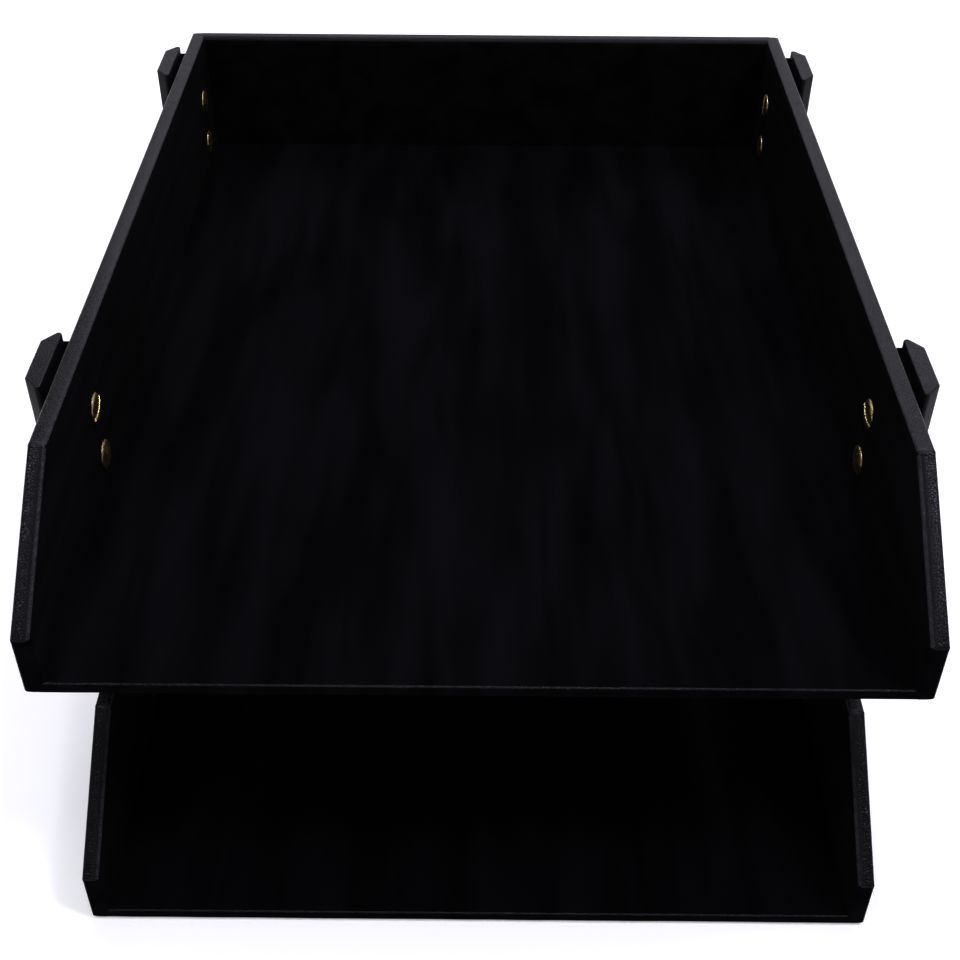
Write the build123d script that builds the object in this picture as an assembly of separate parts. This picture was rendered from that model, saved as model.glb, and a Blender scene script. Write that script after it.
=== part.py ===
"""Two-tier desk tray: boards wrapped in leatherette, the tiers joined by four screwed posts.

Frame: millimetres, +Z up, +Y from the open front to the back wall, with the origin on the desk
under the middle of the tray. Each tray is drawn at desk height, and the upper one is lifted.
"""

import os

from build123d import *

# Tray, measured over its wrapping
tray_width = 270.0
tray_depth = 352.0
wall_height = 57.6
front_height = 23.2
slope_run = 48.0
tier_pitch = 117.6

# Boards and the grooves that join them
wall_board = 5.0
base_board = 3.0
groove_depth = 2.0
groove_stop = 8.0

# Leatherette and felt
wrap_thickness = 0.6
wrap_round = 1.1
inner_round = 2.0
turn_in = 18.0
felt_thickness = 1.2
felt_inset = 1.5
felt_corner = 6.0

# Posts, and the packers that stand them off the walls
post_width = 31.0
post_thickness = 6.2
post_corner_run = 5.0
post_corner_depth = 4.4
post_top_bevel = 0.7
post_top_drop = 3.0
post_foot_rise = 3.0
packer_thickness = 4.6
packer_step = 3.0
packer_inset = 1.0
front_post_setback = 95.5
rear_post_setback = 24.5

# Binding screws: slotted heads inside the tray, threaded into hexagonal barrels set in the posts
low_screw_height = 15.0
screw_spacing = 20.0
head_diameter = 10.2
head_top_diameter = 8.6
head_height = 1.5
slot_width = 1.2
slot_depth = 0.8
thread_diameter = 3.6
thread_length = 9.0
thread_room = 0.8
barrel_flats = 6.0
barrel_sides = 6
barrel_end_gap = 1.3
hole_clearance = 0.1
thread_clearance = 0.05

cut_overrun = 1.0

# Places that follow from those sizes
front_y = -tray_depth / 2
rear_y = tray_depth / 2
half_width = tray_width / 2
wall_thickness = wall_board + 2 * wrap_thickness
board_bevel = inner_round - wrap_thickness
inner_half_width = half_width - wall_thickness
board_inner_x = inner_half_width + wrap_thickness
back_inner_y = rear_y - wall_thickness
hem_z = felt_thickness - wrap_thickness
floor_board_z = felt_thickness + base_board
floor_z = floor_board_z + wrap_thickness
post_inner_x = half_width + packer_thickness
post_outer_x = post_inner_x + post_thickness
post_height = tier_pitch + wall_height - post_top_drop - post_foot_rise
post_round = min(wrap_round, (post_thickness - post_corner_depth) / 2)
barrel_outer_x = post_outer_x - wrap_thickness
screw_heights = (low_screw_height, low_screw_height + screw_spacing)
tier_heights = {"lower": 0, "upper": tier_pitch}
side_signs = {"left": -1, "right": 1}
post_places = {"front": front_y + front_post_setback, "rear": rear_y - rear_post_setback}

upwards = (Align.CENTER, Align.CENTER, Align.MIN)
downwards = (Align.CENTER, Align.CENTER, Align.MAX)


def block(x_span, y_span, z_span):
    """Box between two corners, each span being a low and a high value."""
    low, high = (Vector(*corner) for corner in zip(x_span, y_span, z_span))
    size = high - low
    return Pos(*low) * Box(size.X, size.Y, size.Z, align=(Align.MIN, Align.MIN, Align.MIN))


def edges_along_x(solid, y, z):
    """The solid's edges that run along X at the given Y and Z."""
    edges = solid.edges().filter_by(Axis.X)
    return edges.filter_by_position(Axis.Y, y, y).filter_by_position(Axis.Z, z, z)


def rim_edges(wall, face):
    """Edges round the inner face (0) or the outer face (-1) of a right side wall, but for its foot."""
    rim = wall.edges().group_by(Axis.X)[face]
    return rim - rim.group_by(Axis.Z)[0]


def on_side(solid, sign):
    """A piece drawn for the right side, or its mirror image on the left."""
    return solid if sign > 0 else mirror(solid, Plane.YZ)


def facing(sign, x, y, z):
    """Plane at a point on either side of the tray, its Z towards +X or -X."""
    return Plane((x, y, z), x_dir=(0, 1, 0), z_dir=(sign, 0, 0))


def screw_places(tier):
    """Y and Z of every screw on one side of a tier."""
    return [(y, tier_heights[tier] + z) for y in post_places.values() for z in screw_heights]


def hexagon(across_flats):
    """Outline of a barrel, or of the hole that keeps it from turning."""
    return RegularPolygon(across_flats / 2, barrel_sides, major_radius=False)


def barrel_holes():
    """Holes for every barrel on the right side, through wall and packer and out to the post's skin."""
    start = inner_half_width - cut_overrun
    hole = extrude(hexagon(barrel_flats + 2 * hole_clearance), barrel_outer_x - start)
    places = [place for tier in tier_heights for place in screw_places(tier)]
    return [facing(1, start, y, z) * hole for y, z in places]


def make_base_board():
    """Floor panel, tongued into the back board and, from a little behind the front, into the side boards."""
    reach = board_inner_x + groove_depth
    back = back_inner_y + wrap_thickness + groove_depth
    thickness = (felt_thickness, floor_board_z)
    panel = block((-inner_half_width, inner_half_width), (front_y + wrap_thickness, back), thickness)
    return panel + block((-reach, reach), (front_y + groove_stop, back), thickness)


def make_base_wrap(base):
    """Leatherette over the floor, round its front edge and turned in underneath."""
    width = (-inner_half_width, inner_half_width)
    cover = block(width, (front_y, back_inner_y), (hem_z, floor_z))
    front_edges = edges_along_x(cover, front_y, hem_z) + edges_along_x(cover, front_y, floor_z)
    cover = fillet(front_edges, wrap_round)
    bare_underside = block(width, (front_y + turn_in, back_inner_y), (hem_z, felt_thickness))
    return cover - base - bare_underside


def make_back_board(base):
    """Back wall panel, let into the side boards, grooved for the floor and bevelled inside at the top."""
    reach = board_inner_x + groove_depth
    front, top = back_inner_y + wrap_thickness, wall_height - wrap_thickness
    panel = block((-reach, reach), (front, rear_y - wrap_thickness), (felt_thickness, top))
    return chamfer(edges_along_x(panel, front, top), board_bevel) - base


def make_back_wrap(base, back):
    """Leatherette over both faces, the top and the underside of the back wall."""
    cover = block((-inner_half_width, inner_half_width), (back_inner_y, rear_y), (hem_z, wall_height))
    cover = fillet(edges_along_x(cover, back_inner_y, wall_height), inner_round)
    cover = fillet(edges_along_x(cover, rear_y, wall_height), wrap_round)
    return cover - back - base


def side_profile():
    """Outline of a wrapped side wall in Y and Z, with its front cut down on a slope."""
    corners = [
        (front_y, hem_z),
        (rear_y, hem_z),
        (rear_y, wall_height),
        (front_y + slope_run, wall_height),
        (front_y, front_height),
    ]
    return Polygon(*corners, align=None)


def make_side_wall(base, back):
    """Right side board, grooved for the floor and the back, and the leatherette that rounds its edges."""
    board_outline = offset(side_profile(), -wrap_thickness, kind=Kind.INTERSECTION)
    panel = Pos(board_inner_x, 0, 0) * extrude(Plane.YZ * board_outline, wall_board)
    panel = chamfer(rim_edges(panel, 0), board_bevel)
    cover = Pos(inner_half_width, 0, 0) * extrude(Plane.YZ * side_profile(), wall_thickness)
    cover = fillet(rim_edges(cover, 0), inner_round)
    cover = fillet(rim_edges(cover, -1), wrap_round)
    return panel - base - back, cover - panel - base - back


def make_felt():
    """Felt on the underside, let in between the turned-in edges and standing just proud of them."""
    half = inner_half_width - felt_inset
    depth = (front_y + turn_in + felt_inset, back_inner_y - felt_inset)
    sheet = block((-half, half), depth, (0, felt_thickness))
    return chamfer(sheet.edges().filter_by(Axis.Z), felt_corner)


def post_plan():
    """Outline of a right-hand post from above, centred on Y, with its outer corners cut off."""
    half = post_width / 2
    corners = [
        (post_inner_x, -half),
        (post_outer_x - post_corner_depth, -half),
        (post_outer_x, -half + post_corner_run),
        (post_outer_x, half - post_corner_run),
        (post_outer_x - post_corner_depth, half),
        (post_inner_x, half),
    ]
    return Polygon(*corners, align=None)


def make_post(y):
    """Right-hand post at the given Y: its board, the leatherette round it, and its packer."""
    board_outline = offset(post_plan(), -wrap_thickness, kind=Kind.INTERSECTION)
    core = Pos(0, 0, wrap_thickness) * extrude(board_outline, post_height - 2 * wrap_thickness)
    corners = post_plan().vertices()
    corners_at_packer = corners.group_by(Axis.X)[0]
    cover = extrude(fillet(corners - corners_at_packer, post_round), post_height)
    cover = chamfer(cover.faces().sort_by(Axis.Z)[-1].edges(), post_top_bevel) - core
    half = post_width / 2 - packer_inset
    packer = block((half_width, post_inner_x), (-half, half), (0, post_height - packer_step))
    stand = Pos(0, y, post_foot_rise)
    return stand * core, stand * cover, stand * packer


def make_barrel():
    """Hexagonal barrel with its closed end at the origin, running towards -Z and bored from there."""
    length = barrel_outer_x - inner_half_width - barrel_end_gap
    bore_length = thread_length - barrel_end_gap + thread_room
    bore = Cylinder(thread_diameter / 2 + thread_clearance, bore_length, align=upwards)
    return extrude(hexagon(barrel_flats), -length) - Pos(0, 0, -length) * bore


def make_screw():
    """Screw seated at the origin with its slotted, bevelled head towards +Z."""
    head = Cone(head_diameter / 2, head_top_diameter / 2, head_height, align=upwards)
    shank = Cylinder(thread_diameter / 2, thread_length, align=downwards)
    slot = Box(head_diameter, slot_width, slot_depth, align=downwards)
    return head + shank - Pos(0, 0, head_height) * slot


def fastener_groups(tier):
    """All screws and all barrels of one tier, each group as separate solids."""
    screw = make_screw()
    barrel = make_barrel()
    screws = []
    barrels = []
    for sign in side_signs.values():
        for y, z in screw_places(tier):
            screws.append(facing(-sign, sign * inner_half_width, y, z) * screw)
            barrels.append(facing(sign, sign * barrel_outer_x, y, z) * barrel)
    return Compound(screws), Compound(barrels)


def make_tray(tier):
    """Every piece of one tray, by name, at that tier's height."""
    base = make_base_board()
    back = make_back_board(base)
    lift = Pos(0, 0, tier_heights[tier])
    pieces = {
        "base_board": lift * base,
        "base_wrap": lift * make_base_wrap(base),
        "back_board": lift * back,
        "back_wrap": lift * make_back_wrap(base, back),
        "underside_felt": lift * make_felt(),
    }
    board, wrap = (lift * solid - barrel_holes() for solid in make_side_wall(base, back))
    for side, sign in side_signs.items():
        pieces[f"{side}_board"] = on_side(board, sign)
        pieces[f"{side}_wrap"] = on_side(wrap, sign)
    pieces["binding_screws"], pieces["screw_barrels"] = fastener_groups(tier)
    return {f"{tier}_{name}": solid for name, solid in pieces.items()}


def make_posts():
    """Every piece of the four posts, by name."""
    pieces = {}
    for end, y in post_places.items():
        core, cover, packer = (solid - barrel_holes() for solid in make_post(y))
        for side, sign in side_signs.items():
            pieces[f"{end}_{side}_post_board"] = on_side(core, sign)
            pieces[f"{end}_{side}_post_wrap"] = on_side(cover, sign)
            pieces[f"{end}_{side}_post_packer"] = on_side(packer, sign)
    return pieces


def main():
    """Write one STEP file for each piece."""
    os.makedirs("parts", exist_ok=True)
    pieces = make_posts()
    for tier in tier_heights:
        pieces.update(make_tray(tier))
    for name, solid in pieces.items():
        export_step(solid, f"parts/{name}.step")


main()
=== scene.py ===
"""Looks of a two-tier desk tray: boards wrapped in black leatherette, lined inside, on four posts.

Sizes are in millimetres, in the part's own frame, and become metres when a mesh is written.
"""

import logging
import math
from abc import ABC, abstractmethod
from collections.abc import Callable, Iterable, Iterator, Sequence
from dataclasses import dataclass, field
from enum import Enum

import bmesh
import bpy
from mathutils import Matrix, Vector, noise


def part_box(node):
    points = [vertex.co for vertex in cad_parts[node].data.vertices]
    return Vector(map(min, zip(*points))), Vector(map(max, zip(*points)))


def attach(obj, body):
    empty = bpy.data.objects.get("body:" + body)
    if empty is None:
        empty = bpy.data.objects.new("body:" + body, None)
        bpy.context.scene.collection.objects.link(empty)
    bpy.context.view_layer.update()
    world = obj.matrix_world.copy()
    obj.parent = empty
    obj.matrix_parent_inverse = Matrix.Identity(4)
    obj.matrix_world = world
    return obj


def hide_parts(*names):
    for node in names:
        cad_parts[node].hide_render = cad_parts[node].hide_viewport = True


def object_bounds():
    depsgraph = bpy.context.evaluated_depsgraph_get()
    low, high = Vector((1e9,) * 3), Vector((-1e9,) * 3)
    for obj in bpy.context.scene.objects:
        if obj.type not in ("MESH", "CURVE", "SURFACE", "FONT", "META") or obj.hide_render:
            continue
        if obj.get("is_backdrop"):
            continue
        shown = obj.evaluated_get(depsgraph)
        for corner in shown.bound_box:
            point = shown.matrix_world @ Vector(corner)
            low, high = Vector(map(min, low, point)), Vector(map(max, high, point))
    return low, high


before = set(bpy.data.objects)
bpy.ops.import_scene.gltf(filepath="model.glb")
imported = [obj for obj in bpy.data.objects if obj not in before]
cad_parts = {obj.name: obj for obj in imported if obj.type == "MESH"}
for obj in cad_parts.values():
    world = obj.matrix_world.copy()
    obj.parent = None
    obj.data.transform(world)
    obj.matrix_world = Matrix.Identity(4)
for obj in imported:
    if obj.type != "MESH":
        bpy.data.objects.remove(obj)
cad_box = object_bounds()

log = logging.getLogger("desk_tray")

MM = 0.001
ARC_STEP = math.radians(12)
LEAST_RADIUS = 0.05
RIM_STEPS = 6
RIM_WEAR = 0.5
FACE_MARGIN = 0.15
MERGE_DISTANCE = 1e-4
SHARP_EDGE = math.radians(38)
FLAT_FACE = math.radians(14)
FORWARD = Vector((0, -1, 0))
UPWARD = Vector((0, 0, 1))

Tree = bpy.types.NodeTree
Socket = bpy.types.NodeSocket
Material = bpy.types.Material
Piece = bpy.types.Object
Solid = bmesh.types.BMesh
Point = tuple[float, float]
Span = tuple[float, float]
# Values and source sockets, by the name or number of the socket that they go to
Inputs = dict[str | int, object]
# A point of an outline, and its outward direction
Bend = tuple[Vector, Vector]
# A depth, or a strength from 0 to 1, at a point of an outline and a place along its sweep
Amount = Callable[[Vector, float], float]


class Tier(Enum):
    """The two trays."""

    LOWER = "lower"
    UPPER = "upper"


class Side(Enum):
    """The two sides of the tray, seen from its open front."""

    LEFT = "left"
    RIGHT = "right"

    @property
    def sign(self) -> int:
        """-1 on the left, where X is negative, and 1 on the right."""
        return -1 if self is Side.LEFT else 1


class End(Enum):
    """The open front of the tray and its back."""

    FRONT = "front"
    REAR = "rear"


class Sweep(Enum):
    """Which way an outline is swept into a solid."""

    ACROSS = "outline in Y and Z, swept along X"
    UP = "outline in X and Y, swept along Z"

    def place(self, point: Vector, along: float) -> Vector:
        """Where a point of the outline lies, at a distance along the sweep."""
        return Vector((along, *point)) if self is Sweep.ACROSS else Vector((*point, along))


@dataclass(frozen=True)
class Corner:
    """A corner of an outline, and the radius of the arc that rounds it."""

    place: Point
    radius: float = 0.0


@dataclass(frozen=True)
class Rim:
    """A ring of a swept solid: its place along the sweep, its inset from the outline, and how worn its rim
    is.
    """

    along: float
    inset: float = 0.0
    wear_and_highlight: float = 0.0


@dataclass(frozen=True)
class Outline:
    """A closed outline: its corners, anticlockwise, and the longest step between two points."""

    corners: Sequence[Corner]
    spacing: float

    def bend(self, number: int, inset: float) -> list[Bend]:
        """Points round one corner of the outline.

        Args:
            number: Which corner.
            inset: How far the whole outline is drawn in.

        Returns:
            The points of its arc, or the corner itself where its radius is zero.
        """
        corner = self.corners[number]
        place = Vector(corner.place)
        into = (place - Vector(self.corners[number - 1].place)).normalized()
        onward = (Vector(self.corners[(number + 1) % len(self.corners)].place) - place).normalized()
        first, last = Vector((into.y, -into.x)), Vector((onward.y, -onward.x))
        middle = (first + last).normalized()
        mitre = middle / middle.dot(first)
        if not corner.radius:
            return [(place - mitre * inset, mitre)]
        radius = max(corner.radius - inset, LEAST_RADIUS)
        centre = place - mitre * (inset + radius)
        turn = math.atan2(first.cross(last), first.dot(last))
        steps = max(2, math.ceil(abs(turn) / ARC_STEP))
        ways = [Matrix.Rotation(turn * step / steps, 2) @ first for step in range(steps + 1)]
        return [(centre + way * radius, way) for way in ways]

    def ring(self, inset: float = 0.0) -> list[Bend]:
        """Every point of the outline.

        Args:
            inset: How far the outline is drawn in.

        Returns:
            The points in order, as many as without an inset.
        """
        numbers = range(len(self.corners))
        plain = [self.bend(number, 0.0) for number in numbers]
        drawn = [self.bend(number, inset) for number in numbers]
        points: list[Bend] = []
        for number in numbers:
            after = (number + 1) % len(self.corners)
            run = plain[after][0][0] - plain[number][-1][0]
            steps = max(1, math.ceil(run.length / self.spacing))
            side = Vector((run.y, -run.x)).normalized()
            start, end = drawn[number][-1][0], drawn[after][0][0]
            points += drawn[number]
            points += [(start.lerp(end, step / steps), side) for step in range(1, steps)]
        return points


def box_mm(node: str) -> tuple[Vector, Vector]:
    """Lowest and highest corner of a CAD node, in millimetres."""
    low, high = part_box(node)
    return low / MM, high / MM


def stations(span: Span, spacing: float) -> list[Rim]:
    """Evenly spaced rings along a sweep with square ends."""
    count = math.ceil((span[1] - span[0]) / spacing)
    return [Rim(span[0] + (span[1] - span[0]) * i / count) for i in range(count + 1)]


def quarter_round(face: float, radius: float, way: int) -> list[Rim]:
    """Rings that round one rim of a swept solid.

    Args:
        face: Where the solid's face lies along the sweep.
        radius: The rim's radius.
        way: 1 if the solid runs on from the face, -1 if it ends there.

    Returns:
        The rings from the face to the side, with a narrow flat margin that keeps the face's shading flat.
    """
    rings = [Rim(face, radius + FACE_MARGIN)]
    for step in range(RIM_STEPS + 1):
        turn = math.pi / 2 * step / RIM_STEPS
        along = face + way * radius * (1 - math.cos(turn))
        rings.append(Rim(along, radius * (1 - math.sin(turn)), RIM_WEAR * math.sin(2 * turn)))
    return rings


def soft_rims(span: Span, low_radius: float, high_radius: float, spacing: float) -> list[Rim]:
    """Rings of a swept solid with rounded rims.

    Args:
        span: Where the solid starts and ends along the sweep.
        low_radius: Radius of the rim at the start.
        high_radius: Radius of the rim at the end.
        spacing: The longest step between two rings of the sides.

    Returns:
        The rings in order.
    """
    low = quarter_round(span[0], low_radius, 1)
    high = quarter_round(span[1], high_radius, -1)[::-1]
    return low + stations((low[-1].along, high[0].along), spacing)[1:-1] + high


def nowhere(point: Vector, along: float) -> float:
    """Nothing at any place, as where a wrap isn't pinched."""
    return 0.0


def swept(
    shape: Outline,
    rims: Sequence[Rim],
    sweep: Sweep,
    dip: Amount,
    rub_and_highlight: Amount = nowhere,
    pinch: Amount = nowhere,
) -> Solid:
    """Closed solid swept from an outline.

    Args:
        shape: The outline.
        rims: The rings of the solid, in order along the sweep.
        sweep: Which way the outline is swept.
        dip: How far the surface sinks at a point of the outline and a place along the sweep.
        rub_and_highlight: How far it is painted lighter there, as a painted highlight with some rubbing, as
            well as on its rims.
        pinch: How far it is drawn tight and dull there.

    Returns:
        The solid in millimetres, with wear_and_highlight and pinch values at each vertex.
    """
    solid = bmesh.new()
    wear_and_highlight = solid.verts.layers.float.new("wear_and_highlight")
    drawn = solid.verts.layers.float.new("pinch")
    rings = []
    for rim in rims:
        ring = []
        for point, way in shape.ring(rim.inset):
            vertex = solid.verts.new(sweep.place(point - way * dip(point, rim.along), rim.along))
            vertex[wear_and_highlight] = max(rim.wear_and_highlight, rub_and_highlight(point, rim.along))
            vertex[drawn] = pinch(point, rim.along)
            ring.append(vertex)
        rings.append(ring)
    count = len(rings[0])
    for low, high in zip(rings, rings[1:]):
        for i in range(count):
            j = (i + 1) % count
            solid.faces.new((low[i], low[j], high[j], high[i]))
    solid.faces.new(rings[0])
    solid.faces.new(rings[-1])
    bmesh.ops.recalc_face_normals(solid, faces=solid.faces)
    return solid


def ripple(*place: float) -> float:
    """Smooth unevenness between 0 and 1 at a place, the same on every run."""
    return 0.5 + 0.5 * noise.noise(Vector((*place, 0.0, 0.0)[:3]))


def to_linear(code: str) -> tuple[float, float, float, float]:
    """Linear colour, with full alpha, of an sRGB hex code."""
    channels = [int(code[i : i + 2], 16) / 255 for i in (1, 3, 5)]
    linear = [c / 12.92 if c <= 0.04045 else ((c + 0.055) / 1.055) ** 2.4 for c in channels]
    return (*linear, 1.0)


def two_colours(first: str, second: str) -> Inputs:
    """The two colours that a node mixes, by the names of their sockets."""
    return {"Color1": to_linear(first), "Color2": to_linear(second)}


def ends(name: str, span: Span) -> Inputs:
    """The two ends of a node's range, by the names of their sockets."""
    return {f"{name} Min": span[0], f"{name} Max": span[1]}


def per_mm(size: float) -> float:
    """Texture scale at which one cell of a pattern is that many millimetres across."""
    return 1 / (size * MM)


def add_node(tree: Tree, kind: str, inputs: Inputs | None = None, **settings: str) -> bpy.types.Node:
    """Add a node with its settings and links.

    Args:
        tree: The node tree to add to.
        kind: The node's type, without the ShaderNode that starts its name.
        inputs: What goes to its sockets.
        settings: Properties of the node itself.

    Returns:
        The new node.
    """
    node = tree.nodes.new("ShaderNode" + kind)
    for name, value in settings.items():
        setattr(node, name, value)
    for name, value in (inputs or {}).items():
        if isinstance(value, Socket):
            tree.links.new(value, node.inputs[name])
        else:
            node.inputs[name].default_value = value
    return node


@dataclass(frozen=True)
class Mottle:
    """An uneven pattern in a finish.

    Its size is that of its patches in millimetres, its detail counts the finer layers in them, and its
    stretch is the part of its values, from 0 to 1, that is spread from end to end. Its harshness is how
    strongly the layers show, and its swirl how far the patches are twisted.
    """

    size: float
    detail: float
    stretch: Span = (0.0, 1.0)
    harshness: float = 0.5
    swirl: float = 0.0

    def lay(self, tree: Tree, place: Socket, levels: Span = (0.0, 1.0)) -> tuple[Socket, Socket]:
        """Add the pattern to a material.

        Args:
            tree: The material's node tree.
            place: The place on the piece that the pattern follows.
            levels: What the two ends of its stretch become.

        Returns:
            The pattern's plain value, and the value spread between those levels.
        """
        patches = {"Vector": place, "Scale": per_mm(self.size), "Detail": self.detail}
        patches |= {"Roughness": self.harshness, "Distortion": self.swirl}
        plain = add_node(tree, "TexNoise", patches).outputs[0]
        spread = {"Value": plain, **ends("From", self.stretch), **ends("To", levels)}
        return plain, add_node(tree, "MapRange", spread).outputs[0]


class Finish(ABC):
    """A finish: each kind lays out its own surface, and all are made into a material alike."""

    name: str

    @abstractmethod
    def surface(self, tree: Tree, place: Socket) -> Inputs:
        """Lay out the surface.

        Args:
            tree: The material's node tree.
            place: The place on the piece.

        Returns:
            What goes to the shader's sockets.
        """

    def make(self) -> Material:
        """Build the material.

        Returns:
            The material, named for the finish.
        """
        material = bpy.data.materials.new(self.name)
        material.use_nodes = True
        tree = material.node_tree
        tree.nodes.clear()
        place = add_node(tree, "TexCoord").outputs["Object"]
        shader = add_node(tree, "BsdfPrincipled", self.surface(tree, place))
        add_node(tree, "OutputMaterial", {"Surface": shader.outputs["BSDF"]})
        return material


@dataclass(frozen=True)
class Leatherette(Finish):
    """Black leatherette: vinyl embossed with a pebble grain on a roller and lacquered to a satin.

    The lacquer gives a cool, soft sheen, the pebbles break it into specks where light grazes them,
    hands polish the tops more than the upright faces, and worn rims go greyer. The creases are
    painted darker as shade, and the same grey is a painted highlight along each slope's inner edge and fold.
    """

    name: str = "embossed_leatherette"
    colour: str = "#0c0c0f"
    # Painted shade: the creases between the pebbles are coloured darker than their tops
    crease_shade_colour: str = "#060608"
    # Real rubbing greys the rims, and the same grey is a painted highlight on the side walls' slopes and
    # folds
    rubbed_and_highlight_colour: str = "#2e2e35"
    roughness: Span = (0.2, 0.32)
    upright_dulling: float = 0.38
    upright_rise: Span = (0.25, 0.75)
    pinch_dulling: float = 0.45
    specular: float = 0.07
    # The real pebbles are about 0.5 mm across, and are drawn coarser so that the render shows them
    pebble: float = 0.9
    pebble_height: float = 0.08
    crease_share: float = 0.24
    grain_strength: float = 0.7
    handling: Mottle = Mottle(34.0, detail=2.0, stretch=(0.3, 0.7))
    rub_and_highlight_patches: Mottle = Mottle(2.6, detail=3.0, stretch=(0.4, 0.7))
    rub_and_highlight_levels: Span = (0.3, 0.8)

    def dullness(self, tree: Tree, place: Socket) -> Socket:
        """Polish the lacquer by handling, and dull it on upright faces and where it is drawn tight.

        Args:
            tree: The material's node tree.
            place: The place on the piece.

        Returns:
            The lacquer's roughness.
        """
        _, polish = self.handling.lay(tree, place, self.roughness)
        normal = add_node(tree, "NewGeometry").outputs["Normal"]
        rise = add_node(tree, "SeparateXYZ", {0: normal}).outputs["Z"]
        steep = {"Value": rise, **ends("From", self.upright_rise), **ends("To", (self.upright_dulling, 0.0))}
        upright = add_node(tree, "MapRange", steep).outputs[0]
        rough = add_node(tree, "Math", {0: polish, 1: upright}, operation="ADD").outputs[0]
        pinch = add_node(tree, "Attribute", attribute_name="pinch").outputs["Fac"]
        pinched = {0: pinch, 1: self.pinch_dulling, 2: rough}
        return add_node(tree, "Math", pinched, operation="MULTIPLY_ADD").outputs[0]

    def surface(self, tree: Tree, place: Socket) -> Inputs:
        """Satin pebbles with painted shade in their creases, greyed by the mesh's wear_and_highlight values
        and dulled by its pinch values.
        """
        cells = {"Vector": place, "Scale": per_mm(self.pebble)}
        edge = add_node(tree, "TexVoronoi", cells, feature="DISTANCE_TO_EDGE").outputs["Distance"]
        crease = {"Value": edge, "From Max": self.crease_share}
        height = add_node(tree, "MapRange", crease, interpolation_type="SMOOTHSTEP").outputs[0]
        grain = {"Strength": self.grain_strength, "Distance": self.pebble_height * MM, "Height": height}
        # Painted shade in the creases: the colour darkens from the pebble tops down into the creases
        shade = {"Fac": height, **two_colours(self.crease_shade_colour, self.colour)}
        unworn = add_node(tree, "MixRGB", shade).outputs[0]
        _, rub_and_highlight_patch = self.rub_and_highlight_patches.lay(tree, place, self.rub_and_highlight_levels)
        # The wear_and_highlight values hold real rubbing on the rims, and on the side walls a painted
        # highlight along each slope's inner edge and fold
        rim = add_node(tree, "Attribute", attribute_name="wear_and_highlight").outputs["Fac"]
        wear_and_highlight = add_node(tree, "Math", {0: rub_and_highlight_patch, 1: rim}, operation="MULTIPLY").outputs[0]
        greyed = {"Fac": wear_and_highlight, "Color1": unworn, "Color2": to_linear(self.rubbed_and_highlight_colour)}
        return {
            "Base Color": add_node(tree, "MixRGB", greyed).outputs[0],
            "Roughness": self.dullness(tree, place),
            "Normal": add_node(tree, "Bump", grain).outputs[0],
            "Specular IOR Level": self.specular,
        }


@dataclass(frozen=True)
class Suedette(Finish):
    """Suedette lining: a flocked cloth, brushed one way, that swallows nearly all light.

    It looks flat black inside the tray, with a faint bloom where it is seen edge on.
    """

    name: str = "brushed_suedette"
    colour: str = "#040405"
    brushed_colour: str = "#09090b"
    # Single hairs are too fine to show, so the nap is drawn as coarse as the tufts that they lie in
    nap: Mottle = Mottle(0.7, detail=3.0)
    nap_height: float = 0.12
    nap_strength: float = 0.6
    strokes: Mottle = Mottle(13.0, detail=2.0, stretch=(0.35, 0.68), swirl=0.3)
    stroke_length: float = 85.0
    roughness: float = 0.95
    specular: float = 0.0
    sheen: float = 0.004
    sheen_roughness: float = 0.45

    def surface(self, tree: Tree, place: Socket) -> Inputs:
        """Nap, brushed from the front of the tray to its back."""
        _, nap = self.nap.lay(tree, place)
        drawn_out = {"Vector": place, "Scale": (1.0, self.strokes.size / self.stroke_length, 1.0)}
        along = add_node(tree, "Mapping", drawn_out).outputs[0]
        _, stroke = self.strokes.lay(tree, along)
        shade = {"Fac": stroke, **two_colours(self.colour, self.brushed_colour)}
        pile = {"Strength": self.nap_strength, "Distance": self.nap_height * MM, "Height": nap}
        return {
            "Base Color": add_node(tree, "MixRGB", shade).outputs[0],
            "Roughness": self.roughness,
            "Normal": add_node(tree, "Bump", pile).outputs[0],
            "Specular IOR Level": self.specular,
            "Sheen Weight": self.sheen,
            "Sheen Roughness": self.sheen_roughness,
        }


@dataclass(frozen=True)
class NeedledFelt(Finish):
    """Black wool-mix felt, needled into a mat: no thread shows, only short tangled fibres."""

    name: str = "needled_felt"
    colour: str = "#101012"
    fibre_colour: str = "#232326"
    # Single fibres are too fine to show, so the pattern is as coarse as the tangles that they make
    fibres: Mottle = Mottle(0.9, detail=4.0, stretch=(0.4, 0.75), harshness=0.7, swirl=2.5)
    fibre_height: float = 0.3
    fibre_strength: float = 0.8
    roughness: float = 0.95
    specular: float = 0.1
    sheen: float = 0.3
    sheen_roughness: float = 0.5

    def surface(self, tree: Tree, place: Socket) -> Inputs:
        """Tangled fibres, paler where they stand up."""
        height, fibre = self.fibres.lay(tree, place)
        shade = {"Fac": fibre, **two_colours(self.colour, self.fibre_colour)}
        pile = {"Strength": self.fibre_strength, "Distance": self.fibre_height * MM, "Height": height}
        return {
            "Base Color": add_node(tree, "MixRGB", shade).outputs[0],
            "Roughness": self.roughness,
            "Normal": add_node(tree, "Bump", pile).outputs[0],
            "Specular IOR Level": self.specular,
            "Sheen Weight": self.sheen,
            "Sheen Roughness": self.sheen_roughness,
        }


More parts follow.
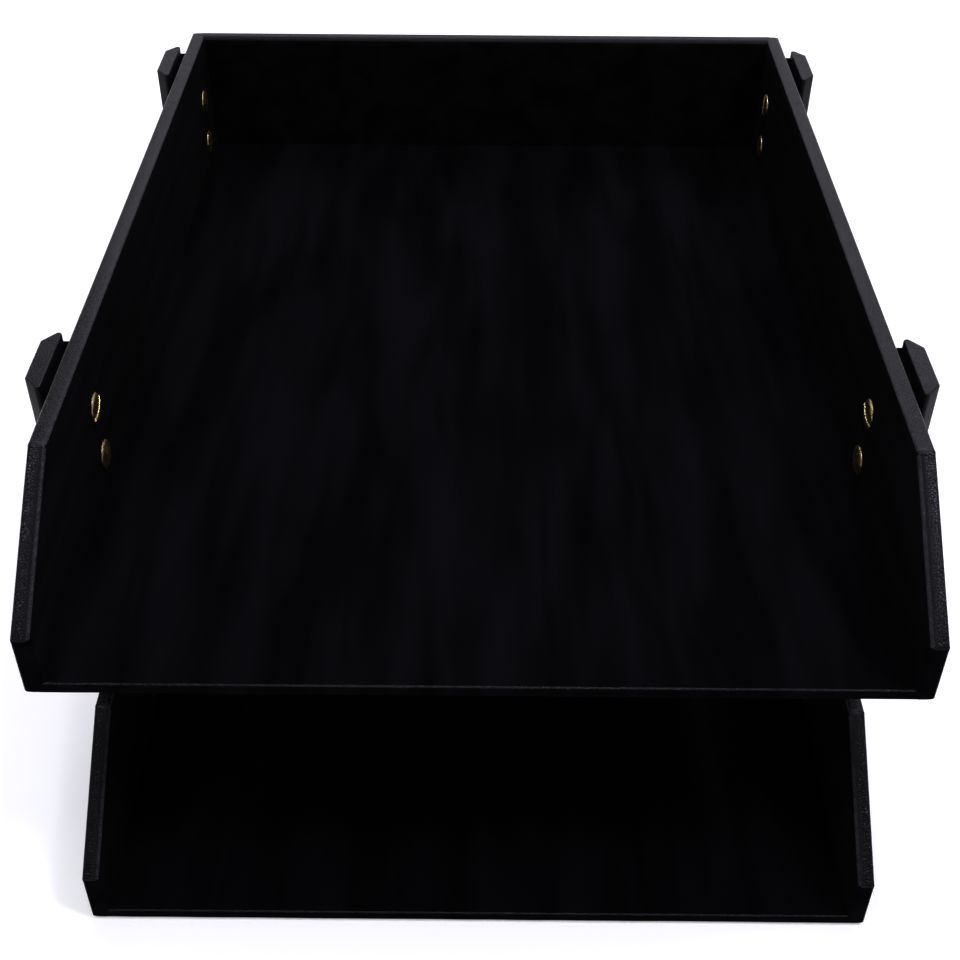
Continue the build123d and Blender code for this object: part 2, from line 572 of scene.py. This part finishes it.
@dataclass(frozen=True)
class TurnedBrass(Finish):
    """Brass turned on a lathe, then lacquered: white glints over a warm sheen, fine rings, tarnish."""

    name: str = "turned_brass"
    colour: str = "#e6d096"
    tarnish_colour: str = "#a98c4c"
    # Real tool marks lie about 0.1 mm apart, and are drawn coarser so that a near view shows them
    ring: float = 0.35
    ring_height: float = 0.012
    ring_strength: float = 0.4
    tarnish: Mottle = Mottle(3.0, detail=3.0, stretch=(0.45, 0.75))
    roughness: Span = (0.24, 0.44)
    lacquer: float = 1.0
    lacquer_roughness: float = 0.06

    def surface(self, tree: Tree, place: Socket) -> Inputs:
        """Rings that follow the head_place values of a mesh, and patches of tarnish."""
        centred = add_node(tree, "Attribute", attribute_name="head_place").outputs["Vector"]
        radius = add_node(tree, "VectorMath", {0: centred}, operation="LENGTH").outputs["Value"]
        turns = {0: radius, 1: math.tau / self.ring}
        angle = add_node(tree, "Math", turns, operation="MULTIPLY").outputs[0]
        rings = add_node(tree, "Math", {0: angle}, operation="SINE").outputs[0]
        marks = {"Strength": self.ring_strength, "Distance": self.ring_height * MM, "Height": rings}
        _, dull = self.tarnish.lay(tree, place)
        shade = {"Fac": dull, **two_colours(self.colour, self.tarnish_colour)}
        polish = {"Value": dull, **ends("To", self.roughness)}
        return {
            "Base Color": add_node(tree, "MixRGB", shade).outputs[0],
            "Metallic": 1.0,
            "Roughness": add_node(tree, "MapRange", polish).outputs[0],
            "Normal": add_node(tree, "Bump", marks).outputs[0],
            "Coat Weight": self.lacquer,
            "Coat Roughness": self.lacquer_roughness,
        }


@dataclass(frozen=True)
class Board(Finish):
    """Wood-fibre board, pressed and sawn: flat, dry and faintly speckled, raw or stained black."""

    name: str
    colour: str
    fleck_colour: str
    flecks: Mottle = Mottle(0.8, detail=4.0, stretch=(0.4, 0.7))
    fleck_height: float = 0.06
    fleck_strength: float = 0.4
    roughness: float = 0.8
    specular: float = 0.1

    def surface(self, tree: Tree, place: Socket) -> Inputs:
        """Sawn fibres with flecks."""
        height, fleck = self.flecks.lay(tree, place)
        shade = {"Fac": fleck, **two_colours(self.colour, self.fleck_colour)}
        sawn = {"Strength": self.fleck_strength, "Distance": self.fleck_height * MM, "Height": height}
        return {
            "Base Color": add_node(tree, "MixRGB", shade).outputs[0],
            "Roughness": self.roughness,
            "Normal": add_node(tree, "Bump", sawn).outputs[0],
            "Specular IOR Level": self.specular,
        }


@dataclass
class Finishes:
    """Every material of the tray, made once."""

    leatherette: Material = field(default_factory=Leatherette().make)
    lining: Material = field(default_factory=Suedette().make)
    felt: Material = field(default_factory=NeedledFelt().make)
    brass: Material = field(default_factory=TurnedBrass().make)
    stained_board: Material = field(
        default_factory=Board("stained_fibreboard", "#040405", "#08080a", specular=0.0).make
    )
    fibreboard: Material = field(default_factory=Board("raw_fibreboard", "#8a6a47", "#a98a62").make)


def add_object(name: str, data: bpy.types.ID) -> Piece:
    """Add an object with that data to the scene."""
    thing = bpy.data.objects.new(name, data)
    bpy.context.scene.collection.objects.link(thing)
    return thing


def add_solid(name: str, solid: Solid) -> Piece:
    """Add a solid, which is used up, to the scene."""
    mesh = bpy.data.meshes.new(name)
    solid.to_mesh(mesh)
    solid.free()
    return add_object(name, mesh)


def show(solid: Solid, node: str, slot: str, *materials: Material) -> Piece:
    """Write a solid as a piece that stands for a CAD node.

    Args:
        solid: The solid in millimetres, which is used up.
        node: The CAD node that the piece stands for, which gives it its name.
        slot: Not used.
        materials: The piece's materials, in the order of its faces' material numbers.

    Returns:
        The piece, riding on the tray.
    """
    bmesh.ops.scale(solid, vec=(MM, MM, MM), verts=solid.verts)
    piece = add_solid(node + "_dressed", solid)
    mesh = piece.data
    mesh.shade_smooth()
    mesh.set_sharp_from_angle(angle=SHARP_EDGE)
    for material in materials:
        mesh.materials.append(material)
    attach(piece, "root")
    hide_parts(node)
    log.info("%s: %d faces", piece.name, len(mesh.polygons))
    return piece


def dress_node(node: str, material: Material) -> None:
    """Give a CAD node that keeps its own shape its material.

    Args:
        node: The CAD node's name.
        material: The material.
    """
    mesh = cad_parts[node].data
    mesh.materials.clear()
    mesh.materials.append(material)
    log.info("%s: keeps its solid", node)


def line_faces(faces: Iterable[bmesh.types.BMFace], way: Vector, turn: float = FLAT_FACE) -> None:
    """Give the second material, the lining, to the faces that look one way.

    Args:
        faces: The faces to choose from.
        way: The way that the lined faces look.
        turn: How far a lined face may turn away from that, in radians.
    """
    for face in faces:
        if face.normal.dot(way) > math.cos(turn):
            face.material_index = 1


class Lined(ABC):
    """A piece in leatherette that is lined inside the tray, and lined as painted shade on the front of the
    floor and side walls.
    """

    node: str

    @abstractmethod
    def build(self) -> Solid:
        """Build the piece in millimetres, with its lined faces marked."""

    def dress(self, finishes: Finishes) -> Piece:
        """Build the piece and give it its leatherette and lining."""
        return show(self.build(), self.node, "leatherette", finishes.leatherette, finishes.lining)


@dataclass
class SideWall(Lined):
    """A side wall in its leatherette: sloped front, rounded rims, and tucks where the wrap is folded."""

    tier: Tier
    side: Side
    slope_run: float = 48.0
    front_rise: float = 22.6
    outer_radius: float = 0.8
    inner_radius: float = 1.6
    corner_radius: float = 1.3
    spacing: float = 7.0
    ring_spacing: float = 0.45
    crown: float = 0.16
    lining_turn: float = 45.0
    # Painted highlight: where the lighter line runs down the slope, near its inner edge, and how wide it is
    ridge_place: float = 1.0
    ridge_reach: float = 0.45
    fold_reach: float = 1.6
    pinch_place: float = 2.0
    pinch_reach: float = 0.8
    tuck_depth: float = 0.18
    tuck_gap: float = 0.12
    tuck_fade: float = 13.0
    tuck_start: float = 0.2
    wave: float = 0.07
    wave_length: float = 21.0
    wave_across: float = 9.0

    def __post_init__(self) -> None:
        """Take the wall's place from its CAD node."""
        self.node = f"{self.tier.value}_{self.side.value}_wrap"
        self.low, self.high = box_mm(self.node)
        self.inner, self.outer = (self.low.x, self.high.x)[:: self.side.sign]
        self.top_fold = (self.low.y + self.slope_run, self.high.z)
        self.low_fold = (self.low.y, self.low.z + self.front_rise)

    def tucks(self, fold: Point, towards: Point) -> list[Corner]:
        """Corners just past a fold, where the overlapped wrap steps down.

        Args:
            fold: The fold.
            towards: The next corner of the outline.

        Returns:
            Two corners close together.
        """
        way = (Vector(towards) - Vector(fold)).normalized()
        first = Vector(fold) + way * self.corner_radius
        return [Corner(tuple(first)), Corner(tuple(first + way * self.tuck_gap))]

    def corners(self) -> list[Corner]:
        """The wall's corners from the lower front one, anticlockwise."""
        radius = self.corner_radius
        foot = (self.low.y, self.low.z)
        return [
            Corner(foot, radius),
            Corner((self.high.y, self.low.z), radius),
            Corner((self.high.y, self.high.z), radius),
            Corner((self.top_fold[0] + self.fold_reach, self.high.z)),
            Corner(self.top_fold, radius),
            *self.tucks(self.top_fold, self.low_fold),
            Corner(self.low_fold, radius),
            *self.tucks(self.low_fold, foot),
        ]

    def fall(self, along: float) -> float:
        """How far the wrap falls towards its outer rim: 0 up to midway and 1 where the rim begins."""
        middle = (self.low.x + self.high.x) / 2
        rim = self.outer - self.side.sign * self.outer_radius
        return min(1.0, max(0.0, (along - middle) / (rim - middle)) ** 2)

    def dip(self, point: Vector, along: float) -> float:
        """How far the wrap sinks: off its crown, past a fold by its own thickness, and a little all over.

        Args:
            point: A point of the outline.
            along: A place across the wall.

        Returns:
            The depth.
        """
        depth = self.crown * self.fall(along)
        place = (point.x / self.wave_length, point.y / self.wave_length, along / self.wave_across)
        depth += self.wave * ripple(*place)
        for fold in (self.top_fold, self.low_fold):
            away = (point - Vector(fold)).length
            below = point.y < fold[1] - self.tuck_start
            past = away > self.corner_radius + self.tuck_gap / 2
            if below and past:
                depth += self.tuck_depth * max(0.0, 1 - away / self.tuck_fade)
        return depth

    def on_slope(self, point: Vector, along: float, place: float, reach: float) -> float:
        """A strip that runs down the slope.

        Args:
            point: A point of the outline.
            along: A place across the wall.
            place: The strip's distance from the wall's inner face.
            reach: How far it reaches to each side.

        Returns:
            The strip's strength there, from 0 to 1.
        """
        off = abs(abs(along - self.inner) - place) / reach
        sloped = self.low_fold[1] < point.y < self.top_fold[1] and point.x < self.top_fold[0]
        return max(0.0, 1 - off) if sloped else 0.0

    def rub_and_highlight(self, point: Vector, along: float) -> float:
        """How far the wrap is painted lighter, as a painted highlight with some rubbing, along the inner edge
        of the slope and over the fold above it.
        """
        fold = 1 - (point - Vector(self.top_fold)).length / self.fold_reach
        edge = self.on_slope(point, along, self.ridge_place, self.ridge_reach)
        return max(edge, fold * (1 - self.fall(along)))

    def pinch(self, point: Vector, along: float) -> float:
        """How far the wrap is drawn tight beside that edge."""
        return self.on_slope(point, along, self.pinch_place, self.pinch_reach)

    def build(self) -> Solid:
        """Sweep the wall's outline across its thickness.

        Returns:
            The wall, with its inner face lined, and its front end lined as painted shade.
        """
        radii = (self.outer_radius, self.inner_radius)[:: -self.side.sign]
        rims = soft_rims((self.low.x, self.high.x), *radii, self.ring_spacing)
        shape = Outline(self.corners(), self.spacing)
        solid = swept(shape, rims, Sweep.ACROSS, self.dip, self.rub_and_highlight, self.pinch)
        inward = Vector((-self.side.sign, 0, 0))
        turn = math.radians(self.lining_turn)
        front_end = [face for face in solid.faces if face.calc_center_median().z < self.low_fold[1]]
        line_faces(solid.faces, inward, turn)
        # Painted shade: the front end takes the near-black lining, standing in for the shade that falls on it
        line_faces(solid.faces, FORWARD)
        line_faces(front_end, (inward + FORWARD).normalized(), turn)
        return solid


@dataclass
class BackWall(Lined):
    """The back wall in its leatherette, let in between the side walls."""

    tier: Tier
    front_radius: float = 3.2
    rear_radius: float = 1.0
    foot_radius: float = 0.6
    let_in: float = 1.8
    lining_turn: float = 34.0
    sheen_fade: float = 1.4
    spacing: float = 7.0
    wave: float = 0.08
    wave_length: float = 24.0
    wave_across: float = 9.0

    def __post_init__(self) -> None:
        """Take the wall's place from its CAD node."""
        self.node = f"{self.tier.value}_back_wrap"
        self.low, self.high = box_mm(self.node)

    def dip(self, point: Vector, along: float) -> float:
        """How far the wrap sinks as it lies a little unevenly over the board."""
        place = (along / self.wave_length, point.x / self.wave_across, point.y / self.wave_length)
        return self.wave * ripple(*place)

    def pinch(self, point: Vector, along: float) -> float:
        """How far the wrap is drawn dull, down its rounded front edge towards the lining."""
        on_front = point.x < self.low.y + self.front_radius
        return min(1.0, (self.high.z - point.y) / self.sheen_fade) if on_front else 0.0

    def build(self) -> Solid:
        """Sweep the wall's section from inside one side wall to the other.

        Returns:
            The wall, with its inner face lined.
        """
        corners = [
            Corner((self.low.y, self.low.z), self.foot_radius),
            Corner((self.high.y, self.low.z), self.foot_radius),
            Corner((self.high.y, self.high.z), self.rear_radius),
            Corner((self.low.y, self.high.z), self.front_radius),
        ]
        rims = stations((self.low.x - self.let_in, self.high.x + self.let_in), self.spacing)
        solid = swept(Outline(corners, self.spacing), rims, Sweep.ACROSS, self.dip, pinch=self.pinch)
        line_faces(solid.faces, FORWARD, math.radians(self.lining_turn))
        return solid


@dataclass
class Floor(Lined):
    """The tray's floor covering: lined on top, lined in front as painted shade, leatherette along the edge
    and underneath.
    """

    tier: Tier
    skin: float = 0.6
    turn_in: float = 18.0
    edge_radius: float = 1.3
    let_in: float = 1.8
    lining_turn: float = 44.0
    spacing: float = 4.0
    wave: float = 0.16
    wave_length: float = 13.0
    wave_across: float = 3.0
    wave_reach: float = 3.0

    def __post_init__(self) -> None:
        """Take the floor's place from its CAD node."""
        self.node = f"{self.tier.value}_base_wrap"
        self.low, self.high = box_mm(self.node)

    def dip(self, point: Vector, along: float) -> float:
        """How far the wrap sinks along the front edge, where it was pulled round by hand."""
        on_edge = point.x <= self.low.y + self.wave_reach
        return self.wave * ripple(along / self.wave_length, point.y / self.wave_across) if on_edge else 0.0

    def build(self) -> Solid:
        """Sweep the folded sheet's section from inside one wall to the other.

        Returns:
            The covering, with its upper face lined, and the face of its front edge lined as painted shade.
        """
        front, back, hem, top = self.low.y, self.high.y, self.low.z, self.high.z
        corners = [
            Corner((front, hem), self.edge_radius),
            Corner((front + self.turn_in, hem)),
            Corner((front + self.turn_in, hem + self.skin)),
            Corner((front + self.skin, hem + self.skin)),
            Corner((front + self.skin, top - self.skin)),
            Corner((back, top - self.skin)),
            Corner((back, top)),
            Corner((front, top), self.edge_radius),
        ]
        rims = stations((self.low.x - self.let_in, self.high.x + self.let_in), self.spacing)
        solid = swept(Outline(corners, back - front), rims, Sweep.ACROSS, self.dip)
        line_faces(solid.faces, UPWARD)
        # Painted shade: the front edge takes the near-black lining, standing in for the shade that falls on
        # it
        line_faces(solid.faces, FORWARD, math.radians(self.lining_turn))
        return solid


@dataclass
class UndersideFelt:
    """The felt sheet glued under a tray, with cut corners and a soft edge."""

    tier: Tier
    corner_cut: float = 6.0
    corner_radius: float = 0.8
    edge_radius: float = 0.45
    spacing: float = 5.0
    fray: float = 0.25
    fray_length: float = 2.2

    def __post_init__(self) -> None:
        """Take the sheet's place from its CAD node."""
        self.node = f"{self.tier.value}_underside_felt"
        self.low, self.high = box_mm(self.node)

    def dip(self, point: Vector, along: float) -> float:
        """How far the cut edge falls short where fibres have pulled out."""
        return self.fray * ripple(point.x / self.fray_length, point.y / self.fray_length)

    def build(self) -> Solid:
        """Sweep the sheet's outline through its thickness.

        Returns:
            The sheet.
        """
        low, high, cut = self.low, self.high, self.corner_cut
        places = [
            (low.x + cut, low.y),
            (high.x - cut, low.y),
            (high.x, low.y + cut),
            (high.x, high.y - cut),
            (high.x - cut, high.y),
            (low.x + cut, high.y),
            (low.x, high.y - cut),
            (low.x, low.y + cut),
        ]
        shape = Outline([Corner(place, self.corner_radius) for place in places], self.spacing)
        rims = soft_rims((low.z, high.z), self.edge_radius, self.edge_radius, self.spacing)
        return swept(shape, rims, Sweep.UP, self.dip)

    def dress(self, finishes: Finishes) -> Piece:
        """Args:
            finishes: The tray's materials.

        Returns:
            The sheet.
        """
        piece = show(self.build(), self.node, "felt", finishes.felt)
        return piece


@dataclass
class Post:
    """One of the four posts: a flat bar in leatherette with its outer corners cut off."""

    end: End
    side: Side
    corner_run: float = 5.0
    corner_depth: float = 4.4
    corner_radius: float = 1.15
    rim_radius: float = 0.55
    spacing: float = 4.0
    wave: float = 0.10
    wave_length: float = 17.0
    wave_across: float = 9.0

    def __post_init__(self) -> None:
        """Take the post's place from its CAD nodes."""
        self.name = f"{self.end.value}_{self.side.value}_post"
        self.low, self.high = box_mm(self.name + "_wrap")

    def dip(self, point: Vector, along: float) -> float:
        """How far the wrap sinks as it lies a little unevenly over the bar."""
        place = (point.x / self.wave_across, point.y / self.wave_length, along / self.wave_length)
        return self.wave * ripple(*place)

    def build(self) -> Solid:
        """Sweep the bar's plan upwards.

        Returns:
            The bar.
        """
        inner, outer = (self.low.x, self.high.x)[:: self.side.sign]
        shoulder = outer - self.side.sign * self.corner_depth
        places = [
            (inner, self.low.y),
            (shoulder, self.low.y),
            (outer, self.low.y + self.corner_run),
            (outer, self.high.y - self.corner_run),
            (shoulder, self.high.y),
            (inner, self.high.y),
        ]
        corners = [Corner(place, self.corner_radius) for place in places[:: self.side.sign]]
        rims = soft_rims((self.low.z, self.high.z), self.rim_radius, self.rim_radius, self.spacing)
        return swept(Outline(corners, self.spacing), rims, Sweep.UP, self.dip)

    def dress(self, finishes: Finishes) -> Piece:
        """Build the post, and give its board and the packer that stands it off the wall their materials.

        Args:
            finishes: The tray's materials.

        Returns:
            The post's leatherette.
        """
        dress_node(self.name + "_packer", finishes.stained_board)
        dress_node(self.name + "_board", finishes.fibreboard)
        return show(self.build(), self.name + "_wrap", "leatherette", finishes.leatherette)


@dataclass
class BindingScrews:
    """The eight slotted brass screws of a tray, each left at its own angle."""

    tier: Tier
    head_radius: float = 5.1
    head_height: float = 1.3
    crown_steps: int = 6
    rim_height: float = 0.45
    bevel_height: float = 0.8
    bevel_width: float = 0.5
    foot_bevel: float = 0.12
    slot_width: float = 1.2
    slot_depth: float = 0.8
    slot_overrun: float = 2.55
    soft_edge: float = 0.09
    soft_edge_steps: int = 2
    soft_edge_angle: float = 50.0
    shank_radius: float = 1.8
    shank_length: float = 9.0
    round_steps: int = 48
    slot_turns: tuple[float, ...] = (18, -64, 82, 35, -12, 71, -40, 6)

    def __post_init__(self) -> None:
        """Take the screws' places from their CAD node."""
        self.node = f"{self.tier.value}_binding_screws"
        self.low, self.high = box_mm(self.node)

    def section(self) -> list[Point]:
        """Half of a screw's section.

        Returns:
            Radius and height of its points, from the crown of the head to the end of the shank.
        """
        shoulder = self.head_radius - self.bevel_width
        fall = self.head_height - self.bevel_height
        shares = [step / self.crown_steps for step in range(self.crown_steps + 1)]
        dome = [(shoulder * share, self.head_height - fall * share**2) for share in shares]
        rest = [
            (self.head_radius, self.rim_height),
            (self.head_radius, self.foot_bevel),
            (self.head_radius - self.foot_bevel, 0.0),
            (self.shank_radius, 0.0),
            (self.shank_radius, -self.shank_length),
            (0.0, -self.shank_length),
        ]
        return dome + rest

    def turned(self) -> Solid:
        """Turn a screw about Z.

        Returns:
            The screw, with no slot yet.
        """
        solid = bmesh.new()
        verts = [solid.verts.new((radius, 0, height)) for radius, height in self.section()]
        edges = [solid.edges.new(pair) for pair in zip(verts, verts[1:])]
        turn = {"axis": (0, 0, 1), "cent": (0, 0, 0), "angle": math.tau, "steps": self.round_steps}
        bmesh.ops.spin(solid, geom=verts + edges, use_merge=True, **turn)
        bmesh.ops.remove_doubles(solid, verts=solid.verts, dist=MERGE_DISTANCE)
        bmesh.ops.recalc_face_normals(solid, faces=solid.faces)
        return solid

    def blade(self) -> Solid:
        """The block that cuts the slot, along X, with its lower half in the head."""
        solid = bmesh.new()
        size = (2 * (self.head_radius + self.slot_overrun), self.slot_width, 2 * self.slot_depth)
        bmesh.ops.create_cube(solid, size=1.0)
        bmesh.ops.scale(solid, vec=size, verts=solid.verts)
        bmesh.ops.translate(solid, vec=(0, 0, self.head_height), verts=solid.verts)
        return solid

    def slotted(self) -> bpy.types.Mesh:
        """Cut the slot in a turned screw and soften its edges.

        Returns:
            The finished screw's mesh.
        """
        screw = add_solid("turned", self.turned())
        cutter = add_solid("blade", self.blade())
        slot = screw.modifiers.new("slot", "BOOLEAN")
        slot.object, slot.operation, slot.solver = cutter, "DIFFERENCE", "EXACT"
        soft = screw.modifiers.new("soft", "BEVEL")
        soft.width, soft.segments = self.soft_edge, self.soft_edge_steps
        soft.angle_limit = math.radians(self.soft_edge_angle)
        graph = bpy.context.evaluated_depsgraph_get()
        mesh = bpy.data.meshes.new_from_object(screw.evaluated_get(graph))
        for used in (screw, cutter):
            bpy.data.objects.remove(used)
        return mesh

    def places(self) -> Iterator[tuple[Side, float, float]]:
        """Side, Y and Z of each screw."""
        radius = self.head_radius
        for side in Side:
            for y in (self.low.y + radius, self.high.y - radius):
                for z in (self.low.z + radius, self.high.z - radius):
                    yield side, y, z

    def build(self) -> Solid:
        """Set a copy of the screw at each place, its head inside the tray.

        Returns:
            The screws, with the place of each vertex about its own screw's axis.
        """
        screw = self.slotted()
        solid = bmesh.new()
        head_place = solid.verts.layers.float_vector.new("head_place")
        for (side, y, z), slot_turn in zip(self.places(), self.slot_turns):
            first = len(solid.verts)
            solid.from_mesh(screw)
            solid.verts.ensure_lookup_table()
            low, high = box_mm(f"{self.tier.value}_{side.value}_wrap")
            inner_face = high.x if side is Side.LEFT else low.x
            facing = Matrix.Rotation(-side.sign * math.pi / 2, 4, "Y")
            turned = Matrix.Rotation(math.radians(slot_turn), 4, "Z")
            move = Matrix.Translation((inner_face, y, z)) @ facing @ turned
            for vertex in solid.verts[first:]:
                vertex[head_place] = Vector((vertex.co.x, vertex.co.y, 0))
                vertex.co = move @ vertex.co
        bpy.data.meshes.remove(screw)
        return solid

    def dress(self, finishes: Finishes) -> Piece:
        """Build the screws, and give them and the barrels in the posts their brass."""
        dress_node(f"{self.tier.value}_screw_barrels", finishes.brass)
        return show(self.build(), self.node, "brass", finishes.brass)


@dataclass
class DeskTray:
    """The whole tray: two trays and four posts."""

    finishes: Finishes = field(default_factory=Finishes)

    def dress(self) -> None:
        """Build and dress every piece, and dress the boards hidden inside."""
        for tier in Tier:
            pieces = [SideWall(tier, side) for side in Side]
            pieces += [BackWall(tier), Floor(tier), UndersideFelt(tier), BindingScrews(tier)]
            for piece in pieces:
                piece.dress(self.finishes)
            for panel in ("base", "back", "left", "right"):
                dress_node(f"{tier.value}_{panel}_board", self.finishes.fibreboard)
        for end in End:
            for side in Side:
                Post(end, side).dress(self.finishes)


@dataclass(frozen=True)
class Lamp:
    """A flat panel of even light, aimed at the middle of the tray; its place and size are in metres."""

    name: str
    place: tuple[float, float, float]
    size: Span
    radiance: float
    colour: str

    def hang(self, aim: Vector) -> None:
        """Add the lamp, with the power that gives its panel that radiance.

        Args:
            aim: The point that it faces, in metres.
        """
        light = bpy.data.lights.new(self.name, "AREA")
        light.shape = "RECTANGLE"
        light.size, light.size_y = self.size
        light.energy = self.radiance * math.pi * self.size[0] * self.size[1]
        light.color = to_linear(self.colour)[:3]
        lamp = add_object(self.name, light)
        lamp.location = self.place
        lamp.rotation_euler = (aim - Vector(self.place)).to_track_quat("-Z", "Y").to_euler()


@dataclass(frozen=True)
class BackdropPaper(Finish):
    """White backdrop paper, matt as it leaves the roll: it shows the tray's shadow and no gloss.

    It is lifted to white, more so far from the lamps, but only where it is seen, straight or mirrored.
    The fade's two ends are in metres from the tray's middle.
    """

    name: str = "white_paper_floor"
    colour: str = "#f4f4f4"
    lift_colour: str = "#ffffff"
    lift: Span = (0.27, 0.84)
    fade: Span = (0.6, 2.6)
    roughness: float = 1.0
    specular: float = 0.0

    def surface(self, tree: Tree, place: Socket) -> Inputs:
        """Plain white, with a lift that only the camera and reflections see."""
        path = add_node(tree, "LightPath")
        seen = path.outputs["Is Camera Ray"]
        for name in ("Is Glossy Ray", "Is Transmission Ray"):
            seen = add_node(tree, "Math", {0: seen, 1: path.outputs[name]}, operation="MAXIMUM").outputs[0]
        away = add_node(tree, "VectorMath", {0: place}, operation="LENGTH").outputs["Value"]
        reach = {"Value": away, **ends("From", self.fade), **ends("To", self.lift)}
        level = add_node(tree, "MapRange", reach, interpolation_type="SMOOTHSTEP").outputs[0]
        return {
            "Base Color": to_linear(self.colour),
            "Roughness": self.roughness,
            "Specular IOR Level": self.specular,
            "Emission Color": to_linear(self.lift_colour),
            "Emission Strength": add_node(tree, "Math", {0: seen, 1: level}, operation="MULTIPLY").outputs[0],
        }


@dataclass
class Studio:
    """Camera at the photograph's viewpoint, a white floor, and soft light at a plain level."""

    viewpoint: tuple[float, float, float] = (0.63, -455.06, 437.74)
    look_down: float = 40.1
    look_left: float = 0.17
    tilt: float = 0.355
    lens: float = 52.99
    sensor: float = 36.0
    nearest: float = 10.0
    floor_size: float = 14000.0
    paper: BackdropPaper = BackdropPaper()
    sky_colour: str = "#fdfdff"
    horizon_light: float = 1.0
    room_light: float = 0.2
    horizon_rise: Span = (0.12, 0.32)
    lamps: tuple[Lamp, ...] = (
        Lamp("overhead_softbox", (0.24, -0.36, 1.60), (1.7, 0.8), 1.5, "#f6f4ff"),
        Lamp("overhead_strip", (0.03, -0.18, 1.50), (0.035, 1.2), 44.0, "#f9f8ff"),
        Lamp("rear_softbox", (0.22, 1.25, 1.38), (1.9, 1.0), 3.7, "#ebe8ff"),
        Lamp("left_panel", (-0.80, -0.54, 1.37), (0.18, 0.30), 30.0, "#efeeff"),
        Lamp("right_panel", (0.80, -0.54, 1.37), (0.18, 0.30), 46.0, "#efeeff"),
    )

    def camera(self) -> None:
        """Set the camera, turned down, then left, then tilted about its own line of sight."""
        down, left, tilt = (math.radians(angle) for angle in (self.look_down, self.look_left, self.tilt))
        right = Vector((math.cos(left), math.sin(left), 0))
        ahead = Vector((-math.sin(left), math.cos(left), 0)) * math.cos(down) - UPWARD * math.sin(down)
        up = right.cross(ahead)
        turned_right = right * math.cos(tilt) + up * math.sin(tilt)
        turned_up = up * math.cos(tilt) - right * math.sin(tilt)
        data = bpy.data.cameras.new("camera")
        data.lens, data.sensor_width, data.sensor_fit = self.lens, self.sensor, "HORIZONTAL"
        data.clip_start = self.nearest * MM
        camera = add_object("camera", data)
        axes = Matrix((turned_right, turned_up, -ahead)).transposed().to_4x4()
        camera.matrix_world = Matrix.Translation(Vector(self.viewpoint) * MM) @ axes
        bpy.context.scene.camera = camera

    def floor(self) -> None:
        """Lay the floor that the tray stands on."""
        solid = bmesh.new()
        bmesh.ops.create_grid(solid, x_segments=1, y_segments=1, size=self.floor_size * MM / 2)
        floor = add_solid("floor", solid)
        floor.data.materials.append(self.paper.make())
        floor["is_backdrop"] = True

    def surroundings(self) -> None:
        """Fill the room with light that is white at the horizon and dimmer overhead."""
        world = bpy.data.worlds.new("studio")
        world.use_nodes = True
        tree = world.node_tree
        tree.nodes.clear()
        way = add_node(tree, "TexCoord").outputs["Generated"]
        rise = add_node(tree, "SeparateXYZ", {0: way}).outputs["Z"]
        levels = ends("To", (self.horizon_light, self.room_light))
        fade = {"Value": rise, **ends("From", self.horizon_rise), **levels}
        level = add_node(tree, "MapRange", fade, interpolation_type="SMOOTHSTEP").outputs[0]
        sky = add_node(tree, "Background", {"Color": to_linear(self.sky_colour), "Strength": level})
        add_node(tree, "OutputWorld", {"Surface": sky.outputs[0]})
        bpy.context.scene.world = world

    def set_up(self) -> None:
        """Set up the camera, floor, lamps and surroundings."""
        self.camera()
        self.floor()
        self.surroundings()
        low, high = cad_box
        for lamp in self.lamps:
            lamp.hang((low + high) / 2)
        bpy.context.scene.view_settings.view_transform = "Standard"
        log.info("studio: %d lamps", len(self.lamps))


def write_sizes() -> None:
    """Gather the CAD model's box and the dressed model's box, in metres, as plain lists; nothing is written.
    """
    boxes = {"cad": cad_box, "visual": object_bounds()}
    plain = {name: [list(corner) for corner in box] for name, box in boxes.items()}


def main() -> None:
    """Build the tray, piece by piece, and set it in the studio."""
    logging.basicConfig(level=logging.INFO, format="%(name)s: %(message)s")
    DeskTray().dress()
    Studio().set_up()
    write_sizes()


if __name__ == "__main__":
    main()
